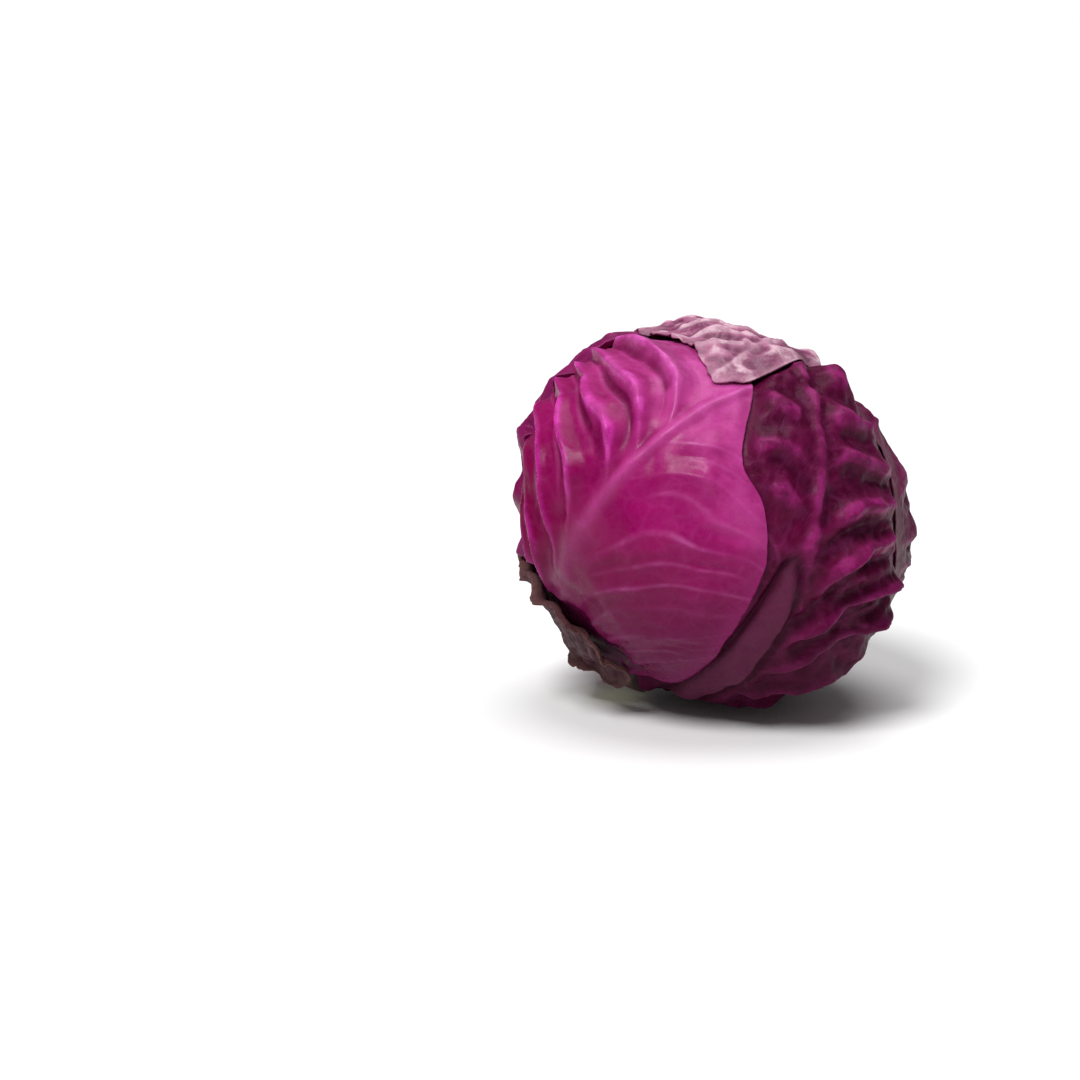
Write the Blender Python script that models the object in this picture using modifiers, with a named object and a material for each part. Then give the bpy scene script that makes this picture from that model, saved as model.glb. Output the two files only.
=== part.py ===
"""A head of red cabbage, lying with its stalk to the lower left.

The head is a slightly flattened ball of leaves round a stalk. Its own axis, from the cut stalk to
the top, leans to the right. Every leaf is an open sheet that is mapped onto the head, laid over
the leaves below it and given its thickness with Solidify. The work goes from the inside out.
Units are metres, +Z is up, and the head rests at z = 0 on a small pressed flat.
"""

from math import atan2, cos, degrees, exp, hypot, pi, radians, sin, sqrt

import bmesh
import bpy
from mathutils import Vector, noise
from mathutils.bvhtree import BVHTree

MM = 0.001

# The head as a whole
HEAD_RADIUS = 83.0 * MM
HEAD_HALF_HEIGHT = 74.6 * MM
HEAD_LEAN = radians(31)
CENTRE_ABOVE_FLOOR = 81.5 * MM
CENTRE_X = 0.9 * MM
CENTRE_Y = 0.0 * MM

# Broad swellings of the head: longitude, angle from the top, height, angular width
SWELLS = (
    (168, 60, 4.5 * MM, 16),
    (174, 88, 4.0 * MM, 16),
    (-150, 162, 5.5 * MM, 17),
    (5, 152, 7.2 * MM, 27),
    (-12, 108, 1.8 * MM, 16),
)

# Round the spot on which the head rests, the leaves are pressed smooth between these angles
PRESSED_FROM = radians(28)
PRESSED_TO = radians(14)

# The leaves
BLADE = 1.2 * MM
RIB_THICKNESS = 2.6 * MM
LAYER_STEP = 2.5 * MM
LEAF_GAP = 0.6 * MM
CORE_DROP = 1.4 * MM
LIFT_STEP = 0.3 * MM
LIFT_ROUNDS = 12
# A leaf begins to sink under another this far outside the other's margin, as a share of its reach
COVER_FADE = 1.18
# The share of its own relief that a leaf loses where another one presses on it
PRESSED_SHARE = 0.97
# A leaf that closes over the top bends sideways from this angle along its midrib, over this length
BOW_FROM = -20
BOW_LENGTH = 150
# The lowest angle along a midrib; past it a place counts as beyond the top
LOWEST_ALONG = -120
# Side ribs rise less, by this share, on the last stretch of the midrib
TIP_RISE_LOSS = 0.5
TIP_RISE_AT = 40
# The midrib is as broad as its base below the first angle and as narrow as its tip over the second
MIDRIB_BASE_AT = -75
MIDRIB_TIP_AT = 20
# Pleats begin and are full at these angles beside the midrib, and fade between these outline shares
PLEAT_FROM = 1.5
PLEAT_FULL = 12
PLEAT_FADE_FROM = 0.8
PLEAT_FADE_LEFT = 0.5
RIDGE_SHARPNESS = 2.2
MARGIN_SHARPNESS = 9
CRINKLE_DENSITY = 6.0
FINE_DENSITY = 11.0
FINE_SHARE = 0.5
CRINKLE_PLACE = Vector((3.1, 1.7, 0))
FINE_PLACE = Vector((0.4, 5.2, 0))

# The stalk, measured along the axis from the centre of the head
STALK_END = 82.0 * MM
STALK_RADIUS = 16.5 * MM
STALK_TOP_RADIUS = 8.0 * MM
STALK_LENGTH = 70.0 * MM
STALK_BEVEL = 1.2 * MM
STALK_DISH = 0.8 * MM
STALK_GAP = 0.35 * MM
STALK_STEPS = 28
STALK_TOP_FLAT = 0.7
STALK_TOP_ROUND = 4.0 * MM
SOCKET_BELOW = 20 * MM
SOCKET_CLEARANCE = 0.65 * MM

AXIS = Vector((sin(HEAD_LEAN), 0, cos(HEAD_LEAN)))
EAST = Vector((cos(HEAD_LEAN), 0, -sin(HEAD_LEAN)))
NORTH = Vector((0, 1, 0))
CENTRE = Vector((CENTRE_X, CENTRE_Y, CENTRE_ABOVE_FLOOR))
DOWN = Vector((0, 0, -1))
FAR = 0.2
# Only directions that point down more steeply than this can meet the floor
DOWNWARD = 0.2

# Shares of a triangle's three corners at which the layers below are felt for
SAMPLE_STEPS = 7
FACE_SAMPLES = [
    (i / SAMPLE_STEPS, j / SAMPLE_STEPS, 1 - (i + j) / SAMPLE_STEPS)
    for i in range(SAMPLE_STEPS + 1)
    for j in range(SAMPLE_STEPS + 1 - i)
]

# Each leaf: where its midrib runs, its outline round its own centre (angle, reach, in degrees of
# the head), its side ribs, and how strongly it is pleated, crinkled and waved
LEAVES = {
    "leaf_right": {
        "longitude": -68, "lean": -12, "centre": -5, "cells": 28,
        "outline": ((0, 72), (30, 76), (55, 86), (75, 98), (90, 102), (105, 88), (120, 66),
                    (140, 50), (160, 42), (180, 38), (210, 42), (235, 56), (250, 66), (262, 71),
                    (275, 70), (290, 76), (305, 80), (325, 80), (345, 75)),
        "left": (33, 16, 17, -21), "right": (33, 16, 17, -21),
        "pleat": (2.6, 5.0), "crinkle": 3.2, "wave": 1.0, "waves": 11,
        "midrib": (9.5, 2.0, 2.6), "colour": (0.075, 0.006, 0.03), "roughness": 0.42,
    },
    "leaf_back": {
        "longitude": 30, "lean": 0, "centre": 0, "cells": 23,
        "outline": ((0, 58), (20, 60), (45, 66), (70, 76), (90, 82), (100, 79), (112, 74),
                    (125, 71), (138, 68), (150, 60), (161, 54), (180, 50), (200, 50), (220, 57),
                    (240, 70), (255, 79), (270, 76.5), (285, 79), (300, 74), (320, 68), (340, 60)),
        "left": (30, 15, 17, -15), "right": (30, 15, 17, -15),
        "pleat": (3.6, 3.6), "crinkle": 2.2, "wave": 1.6, "waves": 13,
        "midrib": (8.0, 1.4, 1.4), "colour": (0.09, 0.02, 0.045), "roughness": 0.5,
    },
    "leaf_front": {
        "longitude": -127.3, "lean": 11.5, "centre": -5, "cells": 28,
        "outline": ((0, 52), (26, 50), (44, 46), (59, 40), (75, 44), (90, 54), (110, 64),
                    (130, 68), (155, 64), (180, 58), (205, 57), (230, 62), (250, 70), (265, 73),
                    (275, 71), (285, 72), (293, 76), (305, 75), (318, 68), (338, 57)),
        "left": (31, 12, 15, -13), "right": (110, 75, 22, -9),
        "pleat": (5.2, 1.5), "crinkle": 1.0, "wave": 0.8, "waves": 7,
        "midrib": (7.0, 1.6, 1.6), "colour": (0.36, 0.008, 0.15), "roughness": 0.3,
    },
    "leaf_left": {
        "longitude": 165, "lean": 0, "centre": -10, "cells": 22,
        "outline": ((0, 17), (20, 18), (40, 22), (60, 31), (80, 47), (100, 62), (120, 68),
                    (140, 66), (160, 62), (180, 60), (200, 60), (220, 62), (240, 67), (258, 69),
                    (270, 66.5), (282, 60), (295, 46), (310, 32), (335, 20)),
        "left": (30, 14, 17, -10), "right": (30, 14, 17, -10),
        "pleat": (3.6, 3.6), "crinkle": 2.2, "wave": 5.0, "waves": 15,
        "midrib": (8.0, 1.4, 1.3), "colour": (0.13, 0.01, 0.055), "roughness": 0.42,
    },
    "leaf_top": {
        "longitude": 85, "lean": 0, "centre": 45, "cells": 25, "bow": 24,
        "outline": ((0, 48), (21, 50), (44, 58), (66, 65), (78, 73), (87, 84), (92, 90),
                    (95.5, 85), (99, 71), (103, 56), (110, 47), (133, 41), (180, 45), (207, 56),
                    (228, 74), (243, 96), (257, 113), (264, 121), (270, 121), (276, 121),
                    (283, 113), (297, 96), (312, 74), (333, 56)),
        "left": (30, 14, 17, -10), "right": (30, 14, 17, -10),
        "pleat": (3.0, 3.0), "crinkle": 3.2, "wave": 1.4, "waves": 17,
        "midrib": (8.0, 1.2, 1.3), "colour": (0.3, 0.13, 0.2), "roughness": 0.55,
    },
    "leaf_outer": {
        "longitude": -155, "lean": 0, "centre": -64, "cells": 15,
        "outline": ((0, 25), (15, 20), (35, 21), (55, 15), (80, 14), (100, 19), (120, 17),
                    (140, 26), (155, 24), (170, 33), (190, 31), (210, 33), (235, 21), (252, 15),
                    (270, 12.5), (288, 15), (305, 19), (330, 29), (345, 25)),
        "left": (12, 10, 13, 0), "right": (12, 10, 13, 0),
        "pleat": (1.4, 1.4), "crinkle": 2.4, "wave": 3.4, "waves": 9, "lift": 1.6,
        "midrib": (8.0, 4.0, 1.2), "colour": (0.05, 0.02, 0.025), "roughness": 0.6,
    },
}


def smooth_step(low, high, value):
    """0 below low, 1 above high and a soft rise between them; low may be the larger one."""
    x = min(1.0, max(0.0, (value - low) / (high - low)))
    return x * x * (3 - 2 * x)


def head_direction(longitude, colatitude):
    """The unit direction at a longitude round the axis and an angle from the top, in degrees."""
    lon = radians(longitude)
    colat = radians(colatitude)
    level = cos(lon) * EAST + sin(lon) * NORTH
    return sin(colat) * level + cos(colat) * AXIS


SWELL_PLACES = [
    (head_direction(longitude, colatitude), height, radians(width))
    for longitude, colatitude, height, width in SWELLS
]


def head_surface(direction):
    """How far the smooth outside of the head is from its centre along a unit direction."""
    along = direction.dot(AXIS)
    across = sqrt(max(0.0, 1 - along * along))
    reach = 1 / hypot(across / HEAD_RADIUS, along / HEAD_HALF_HEIGHT)
    for place, height, width in SWELL_PLACES:
        reach += height * exp(-(direction.angle(place) / width) ** 2)
    return reach


def floor_limit(direction, lift):
    """How far out a point may lie so that it stays a lift above the floor."""
    if direction.z > -DOWNWARD:
        return FAR
    return (CENTRE_ABOVE_FLOOR - lift) / -direction.z


def resting_surface(direction):
    """The smooth outside of the head with its flat on the floor."""
    return min(head_surface(direction), floor_limit(direction, 0))


class Chart:
    """Angles on the head that belong to one leaf: s along its midrib, w across it, in degrees."""

    def __init__(self, leaf):
        outward = head_direction(leaf["longitude"], 90)
        right = AXIS.cross(outward)
        lean = radians(leaf["lean"])
        self.outward = outward
        self.up = cos(lean) * AXIS + sin(lean) * right
        self.right = cos(lean) * right - sin(lean) * AXIS
        self.centre = leaf["centre"]
        self.bow = leaf.get("bow", 0)
        self.outline = leaf["outline"]

    def bend(self, s):
        """The sideways bend of a midrib that doesn't run straight."""
        return self.bow * max(0.0, (s - BOW_FROM) / BOW_LENGTH) ** 2

    def direction(self, s, w):
        run = radians(s)
        side = radians(w + self.bend(s))
        return cos(side) * (cos(run) * self.outward + sin(run) * self.up) + sin(side) * self.right

    def place(self, direction):
        """s and w of a direction; s runs past 90 where the leaf closes over the top."""
        out = direction.dot(self.outward)
        rise = direction.dot(self.up)
        s = degrees(atan2(rise, out))
        if s < LOWEST_ALONG:
            s += 360
        w = degrees(atan2(direction.dot(self.right), hypot(rise, out)))
        return s, w - self.bend(s)

    def reach(self, angle):
        """The outline's reach at an angle round the leaf's centre, through its points."""
        points = self.outline
        count = len(points)
        angle %= 360
        index = max(i for i in range(count) if points[i][0] <= angle)
        a0, r0 = points[index - 1]
        a1, r1 = points[index]
        a2, r2 = points[(index + 1) % count]
        a3, r3 = points[(index + 2) % count]
        a0 -= 360 if index == 0 else 0
        a2 += 360 if index + 1 >= count else 0
        a3 += 360 if index + 2 >= count else 0
        slope1 = (r2 - r0) / (a2 - a0)
        slope2 = (r3 - r1) / (a3 - a1)
        span = a2 - a1
        t = (angle - a1) / span
        rise = r1 * (2 * t**3 - 3 * t**2 + 1) + r2 * (3 * t**2 - 2 * t**3)
        return rise + span * (slope1 * (t**3 - 2 * t**2 + t) + slope2 * (t**3 - t**2))

    def share(self, s, w):
        """How far out a point lies: 0 at the leaf's centre, 1 on its margin."""
        angle = degrees(atan2(s - self.centre, w))
        return hypot(s - self.centre, w) / self.reach(angle)


CHARTS = {name: Chart(leaf) for name, leaf in LEAVES.items()}


def cover(direction, below):
    """How many of the leaves over the leaf named below lie over a direction, softly counted."""
    names = list(LEAVES)
    above = names[names.index(below) + 1:] if below in names else names
    total = 0.0
    for name in above:
        chart = CHARTS[name]
        total += smooth_step(COVER_FADE, 1.0, chart.share(*chart.place(direction)))
    return total


def rib_phase(side, s, w):
    """Side ribs leave the midrib steeply and bend outwards; whole numbers lie on a rib."""
    rise, spread, pitch, first = side
    rise *= 1 - TIP_RISE_LOSS * smooth_step(0, TIP_RISE_AT, s)
    return (s - rise * (1 - exp(-abs(w) / spread)) - first) / pitch


def midrib_profile(leaf, s, w):
    """1 on the midrib, falling to 0 beside it; the midrib is broad at its base."""
    base_width, tip_width, _ = leaf["midrib"]
    width = tip_width + (base_width - tip_width) * smooth_step(MIDRIB_TIP_AT, MIDRIB_BASE_AT, s)
    return exp(-(w / width) ** 2)


def leaf_relief(name, s, w, direction):
    """The height of a leaf's own pleats, ribs, crinkles and waved margin over the smooth head."""
    leaf = LEAVES[name]
    chart = CHARTS[name]
    side = leaf["left"] if w < 0 else leaf["right"]
    pleat = leaf["pleat"][0 if w < 0 else 1] * MM
    share = chart.share(s, w)
    angle = atan2(s - chart.centre, w)
    ridge = (0.5 + 0.5 * cos(2 * pi * rib_phase(side, s, w))) ** RIDGE_SHARPNESS
    pleats = pleat * ridge * smooth_step(PLEAT_FROM, PLEAT_FULL, abs(w))
    pleats *= 1 - PLEAT_FADE_LEFT * smooth_step(PLEAT_FADE_FROM, 1.0, share)
    layer = Vector((0, 0, leaf["longitude"]))
    crinkle = noise.noise(direction * CRINKLE_DENSITY + CRINKLE_PLACE + layer)
    fine = noise.noise(direction * FINE_DENSITY + FINE_PLACE + layer)
    crinkles = leaf["crinkle"] * MM * (crinkle + FINE_SHARE * fine)
    rib = leaf["midrib"][2] * MM * midrib_profile(leaf, s, w)
    wave = 0.5 + 0.5 * sin(leaf["waves"] * angle + leaf["longitude"])
    margin = leaf["wave"] * MM * wave * min(share, 1.0) ** MARGIN_SHARPNESS
    loose = 1 - PRESSED_SHARE * min(1.0, cover(direction, name))
    pressed = smooth_step(PRESSED_FROM, PRESSED_TO, direction.angle(DOWN))
    relief = (pleats + crinkles + margin) * loose + rib
    return relief * (1 - pressed) + leaf.get("lift", 0) * MM * share


def top_of(stack, direction):
    """The height of the pieces already laid, straight out from the centre along a direction."""
    highest = 0.0
    for tree in stack:
        hit = tree.ray_cast(CENTRE + direction * FAR, -direction, FAR)[0]
        if hit is not None:
            highest = max(highest, (hit - CENTRE).length)
    return highest


def lay_over(mesh, wanted, lowest, stack):
    """Puts each vertex at its wanted height, or a gap above the highest thing that lies round it.

    Heights are compared as shares of the resting head's own height there, so that a layer over
    the flat stays flat. No vertex goes past its lowest place over the floor.
    """
    directions = [vertex.co.normalized() for vertex in mesh.verts]
    around = [0.0] * len(directions)
    for face in mesh.faces:
        corners = [vertex.index for vertex in face.verts]
        height = 0.0
        for weights in FACE_SAMPLES:
            parts = (weight * directions[index] for weight, index in zip(weights, corners))
            place = sum(parts, Vector()).normalized()
            height = max(height, top_of(stack, place) / resting_surface(place))
        for index in corners:
            around[index] = max(around[index], height)
    for index, vertex in enumerate(mesh.verts):
        direction = directions[index]
        clear = around[index] * resting_surface(direction) + LEAF_GAP
        vertex.co = CENTRE + direction * min(max(wanted[index], clear), lowest[index])
    lift_clear(mesh, stack)


def lift_clear(mesh, stack):
    """Lifts the corners of every triangle that still cuts a piece below, little by little."""
    for _ in range(LIFT_ROUNDS):
        tree = BVHTree.FromBMesh(mesh)
        mesh.faces.ensure_lookup_table()
        cutting = {here for lower in stack for here, _ in tree.overlap(lower)}
        if not cutting:
            return
        for vertex in {vertex for index in cutting for vertex in mesh.faces[index].verts}:
            vertex.co += (vertex.co - CENTRE).normalized() * LIFT_STEP


def make_material(name, colour, roughness):
    material = bpy.data.materials.new(name)
    material.use_nodes = True
    shader = material.node_tree.nodes["Principled BSDF"]
    shader.inputs["Base Color"].default_value = (*colour, 1)
    shader.inputs["Roughness"].default_value = roughness
    shader.inputs["Metallic"].default_value = 0.0
    return material


def place_object(name, mesh, collection, colour, roughness):
    thing = bpy.data.objects.new(name, mesh)
    collection.objects.link(thing)
    mesh.materials.append(make_material(name + "_skin", colour, roughness))
    mesh.shade_smooth()
    return thing


def evaluated_tree(thing):
    """A search tree of an object's surface with its modifiers applied."""
    depsgraph = bpy.context.evaluated_depsgraph_get()
    depsgraph.update()
    return BVHTree.FromObject(thing, depsgraph)


def make_stalk(collection):
    """The stump with its slightly dished cut end, and the core that tapers up inside the head."""
    inner = STALK_END - STALK_LENGTH
    profile = (
        (0, -inner),
        (STALK_TOP_RADIUS * STALK_TOP_FLAT, -inner),
        (STALK_TOP_RADIUS, -inner - STALK_TOP_ROUND),
        (STALK_RADIUS, -STALK_END + STALK_RADIUS),
        (STALK_RADIUS, -STALK_END + STALK_BEVEL),
        (STALK_RADIUS - STALK_BEVEL, -STALK_END),
        (STALK_RADIUS / 2, -STALK_END + STALK_DISH / 2),
        (0, -STALK_END + STALK_DISH),
    )
    mesh = bpy.data.meshes.new("stalk")
    points = [(radius, 0, height) for radius, height in profile]
    mesh.from_pydata(points, [(i, i + 1) for i in range(len(points) - 1)], [])
    stalk = place_object("stalk", mesh, collection, (0.5, 0.42, 0.3), 0.7)
    turn = stalk.modifiers.new("Turned", "SCREW")
    turn.steps = STALK_STEPS
    turn.render_steps = STALK_STEPS
    turn.use_merge_vertices = True
    turn.merge_threshold = 0.00001
    turn.use_normal_calculate = True
    stalk.location = CENTRE
    stalk.rotation_euler = (0, HEAD_LEAN, 0)
    return stalk


def make_socket(guides):
    """The cutter for the tapered hollow in which the stalk sits."""
    tall = STALK_LENGTH + SOCKET_BELOW
    slope = (STALK_RADIUS - STALK_TOP_RADIUS) / (STALK_LENGTH - STALK_RADIUS - STALK_TOP_ROUND)
    narrow = STALK_TOP_RADIUS + STALK_GAP
    wide = narrow + slope * tall
    mesh = bpy.data.meshes.new("stalk_socket")
    shape = bmesh.new()
    bmesh.ops.create_cone(shape, cap_ends=True, segments=STALK_STEPS, radius1=wide, radius2=narrow,
                          depth=tall)
    top = STALK_LENGTH - STALK_END + STALK_GAP
    bmesh.ops.translate(shape, verts=shape.verts, vec=(0, 0, top + SOCKET_CLEARANCE - tall / 2))
    shape.to_mesh(mesh)
    shape.free()
    cutter = bpy.data.objects.new("stalk_socket", mesh)
    guides.objects.link(cutter)
    cutter.location = CENTRE
    cutter.rotation_euler = (0, HEAD_LEAN, 0)
    cutter.hide_render = True
    cutter.display_type = "WIRE"
    return cutter


def make_heart(collection, guides):
    """The dense packed inner leaves, one mass under all the others, hollow where the stalk is."""
    shape = bmesh.new()
    bmesh.ops.create_icosphere(shape, subdivisions=4, radius=1.0)
    for vertex in shape.verts:
        direction = vertex.co.normalized()
        depth = LAYER_STEP * max(1.0, cover(direction, "heart")) + CORE_DROP
        reach = min(head_surface(direction) - depth, floor_limit(direction, depth))
        vertex.co = CENTRE + direction * reach
    mesh = bpy.data.meshes.new("heart")
    shape.to_mesh(mesh)
    shape.free()
    heart = place_object("heart", mesh, collection, (0.3, 0.05, 0.16), 0.5)
    hollow = heart.modifiers.new("Stalk hollow", "BOOLEAN")
    hollow.operation = "DIFFERENCE"
    hollow.object = make_socket(guides)
    return heart


def make_leaf(name, collection, stack):
    """One leaf: a grid spread over the leaf's outline, laid over the stack, then thickened."""
    leaf = LEAVES[name]
    chart = CHARTS[name]
    shape = bmesh.new()
    bmesh.ops.create_grid(shape, x_segments=leaf["cells"], y_segments=leaf["cells"], size=1.0)
    bmesh.ops.triangulate(shape, faces=shape.faces, quad_method="SHORT_EDGE")
    wanted = []
    lowest = []
    ribs = []
    for vertex in shape.verts:
        across = vertex.co.x * sqrt(1 - vertex.co.y**2 / 2)
        along = vertex.co.y * sqrt(1 - vertex.co.x**2 / 2)
        reach = chart.reach(degrees(atan2(along, across)))
        s = chart.centre + reach * along
        w = reach * across
        direction = chart.direction(s, w)
        rib = midrib_profile(leaf, s, w)
        thickness = BLADE + (RIB_THICKNESS - BLADE) * rib
        depth = LAYER_STEP * cover(direction, name)
        outside = head_surface(direction) - depth + leaf_relief(name, s, w, direction)
        wanted.append(outside - thickness)
        lowest.append(floor_limit(direction, depth + thickness))
        ribs.append(rib)
        vertex.co = direction
    shape.verts.index_update()
    lay_over(shape, wanted, lowest, stack)
    mesh = bpy.data.meshes.new(name)
    shape.to_mesh(mesh)
    shape.free()
    thing = place_object(name, mesh, collection, leaf["colour"], leaf["roughness"])
    group = thing.vertex_groups.new(name="rib")
    for index, rib in enumerate(ribs):
        group.add([index], rib, "REPLACE")
    thick = thing.modifiers.new("Leaf thickness", "SOLIDIFY")
    thick.thickness = RIB_THICKNESS
    thick.offset = 1.0
    thick.vertex_group = "rib"
    thick.thickness_vertex_group = BLADE / RIB_THICKNESS
    return thing


def main():
    for thing in list(bpy.data.objects):
        bpy.data.objects.remove(thing)
    head = bpy.data.collections.new("red_cabbage_head")
    guides = bpy.data.collections.new("guides")
    bpy.context.scene.collection.children.link(head)
    bpy.context.scene.collection.children.link(guides)
    make_stalk(head)
    heart = make_heart(head, guides)
    stack = [evaluated_tree(heart)]
    for name in LEAVES:
        leaf = make_leaf(name, head, stack)
        stack.append(evaluated_tree(leaf))
    for thing in head.objects:
        corners = [thing.matrix_world @ Vector(corner) for corner in thing.bound_box]
        low = [round(min(corner[axis] for corner in corners) * 1000, 2) for axis in range(3)]
        high = [round(max(corner[axis] for corner in corners) * 1000, 2) for axis in range(3)]
        print(thing.name, "low", low, "high", high)


main()
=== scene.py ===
# %% [markdown]
# # A head of red cabbage
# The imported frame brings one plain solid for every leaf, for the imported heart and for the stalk.
# This lesson dresses each of them: every leaf is modelled again with its fine ribs, veins,
# crinkles and thin margins, and gets a waxy, mottled skin. The plain solid gives each piece its
# place and size, so nothing has to be fitted by eye.

from math import cos, pi, radians, sin

import bpy
import numpy as np
from mathutils import Matrix, Vector, noise
from mathutils.bvhtree import BVHTree


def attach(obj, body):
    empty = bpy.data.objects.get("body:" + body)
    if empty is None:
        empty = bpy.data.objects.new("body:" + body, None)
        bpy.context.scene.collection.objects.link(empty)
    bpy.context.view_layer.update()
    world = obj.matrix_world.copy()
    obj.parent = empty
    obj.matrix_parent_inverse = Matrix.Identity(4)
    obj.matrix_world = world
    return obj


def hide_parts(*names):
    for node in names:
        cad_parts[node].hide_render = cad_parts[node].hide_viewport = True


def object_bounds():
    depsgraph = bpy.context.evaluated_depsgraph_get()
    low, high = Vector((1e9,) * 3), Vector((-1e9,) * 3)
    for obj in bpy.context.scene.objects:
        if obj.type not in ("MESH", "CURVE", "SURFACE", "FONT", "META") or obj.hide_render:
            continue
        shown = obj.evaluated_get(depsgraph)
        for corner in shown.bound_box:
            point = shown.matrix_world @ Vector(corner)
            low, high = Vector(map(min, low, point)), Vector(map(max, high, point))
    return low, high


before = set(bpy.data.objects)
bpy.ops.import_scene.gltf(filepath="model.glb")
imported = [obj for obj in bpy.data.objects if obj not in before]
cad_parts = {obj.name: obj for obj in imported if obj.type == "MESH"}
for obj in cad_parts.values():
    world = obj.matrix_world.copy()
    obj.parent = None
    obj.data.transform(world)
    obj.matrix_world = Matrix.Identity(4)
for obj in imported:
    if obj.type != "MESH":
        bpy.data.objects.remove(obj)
cad_low, cad_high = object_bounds()
print("CAD box in mm", [round((b - a) * 1000, 1) for a, b in zip(cad_low, cad_high)])

# %% [markdown]
# ## The size and the lean of the head
# A head of cabbage is a slightly flattened ball that grows round its stalk. Directions on it are
# given by three vectors: its own axis, which leans to the right, and two at right angles to it.
# A few broad swellings make the ball less even, as real heads are.

# %% Sizes of the head
MM = 0.001
HEAD_RADIUS = 83.0 * MM
HEAD_HALF_HEIGHT = 74.6 * MM
HEAD_LEAN = radians(31)
CENTRE = np.array((0.9, 0.0, 81.5)) * MM
AXIS = np.array((sin(HEAD_LEAN), 0, cos(HEAD_LEAN)))
EAST = np.array((cos(HEAD_LEAN), 0, -sin(HEAD_LEAN)))
NORTH = np.array((0, 1, 0))
DOWN = np.array((0, 0, -1))
DOWNWARD = 0.2
FAR = 0.2
# Longitude and angle from the top in degrees, height, and width in degrees
SWELLS = (
    (168, 60, 4.5 * MM, 16),
    (174, 88, 4.0 * MM, 16),
    (-150, 162, 5.5 * MM, 17),
    (5, 152, 7.2 * MM, 27),
    (-12, 108, 1.8 * MM, 16),
)
# How far from straight down the relief is pressed smooth by the floor
PRESSED_FROM = radians(28)
PRESSED_TO = radians(14)
BLADE = 1.2 * MM
RIB_THICKNESS = 2.6 * MM
MARGIN_SHARE = 0.52
# How much deeper a leaf lies for each leaf above it
LAYER_STEP = 2.5 * MM
LEAF_GAP = 0.4 * MM
CORE_DROP = 1.4 * MM
COVER_FADE = 1.18
PRESSED_SHARE = 0.97


def head_direction(longitude, colatitude):
    """The unit direction at a longitude round the axis and an angle from the top, in degrees."""
    lon = radians(longitude)
    colat = radians(colatitude)
    return sin(colat) * (cos(lon) * EAST + sin(lon) * NORTH) + cos(colat) * AXIS


print("axis of the head", AXIS.round(3))


# %% [markdown]
# ## The smooth outside of the head
# NumPy works out a whole mesh at once, which keeps a leaf of tens of thousands of vertices quick.
# The smooth outside is how far the surface lies from the centre along each direction. Near the
# floor it stops at the small flat on which the head rests.

# %% Smooth surface
def smooth_step(low, high, value):
    x = np.clip((value - low) / (high - low), 0, 1)
    return x * x * (3 - 2 * x)


def angle_between(directions, place):
    return np.arccos(np.clip(directions @ place, -1, 1))


def head_surface(directions):
    along = directions @ AXIS
    across = np.sqrt(np.maximum(0, 1 - along**2))
    reach = 1 / np.hypot(across / HEAD_RADIUS, along / HEAD_HALF_HEIGHT)
    for longitude, colatitude, height, width in SWELLS:
        apart = angle_between(directions, head_direction(longitude, colatitude))
        reach = reach + height * np.exp(-((apart / radians(width)) ** 2))
    return reach


def floor_limit(directions, lift):
    down = np.maximum(-directions[:, 2], DOWNWARD)
    limit = (CENTRE[2] - lift) / down
    return np.where(directions[:, 2] < -DOWNWARD, limit, FAR)


def resting_surface(directions):
    return np.minimum(head_surface(directions), floor_limit(directions, 0))


BOX_MIDDLE = np.array((cad_low + cad_high) / 2)
BOX_HALF = np.array((cad_high - cad_low) / 2)
BOX_SAFE = 0.2 * MM
BOX_SOFTNESS = 0.5 * MM


def box_limit(directions):
    """How far out a point may lie so that it stays inside the box of the solids."""
    wall = np.sign(directions) * (BOX_HALF - BOX_SAFE) + BOX_MIDDLE - CENTRE
    steep = np.abs(directions) >= DOWNWARD
    steep[:, 2] &= directions[:, 2] > 0
    return np.min(wall / np.where(steep, directions, 1), axis=1, initial=FAR, where=steep)


def softly_below(reach, limit):
    """The smaller of the two, with a soft passage from one to the other."""
    low = np.minimum(reach, limit)
    return low - BOX_SOFTNESS * np.log1p(np.exp(-np.abs(reach - limit) / BOX_SOFTNESS))


print("widest reach in mm", round(float(head_surface(EAST[None])[0]) / MM, 1))

# %% [markdown]
# ## The leaves
# Each leaf is described in its own chart: s runs along its midrib and w across it, in degrees of
# the head. The outline is a closed curve round the leaf's centre, and the side ribs leave the
# midrib steeply and bend outwards. Where only the left ribs are given, the right ones are the
# same. The leaves are listed from the inside out, the order in which they are laid on each other.

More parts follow.
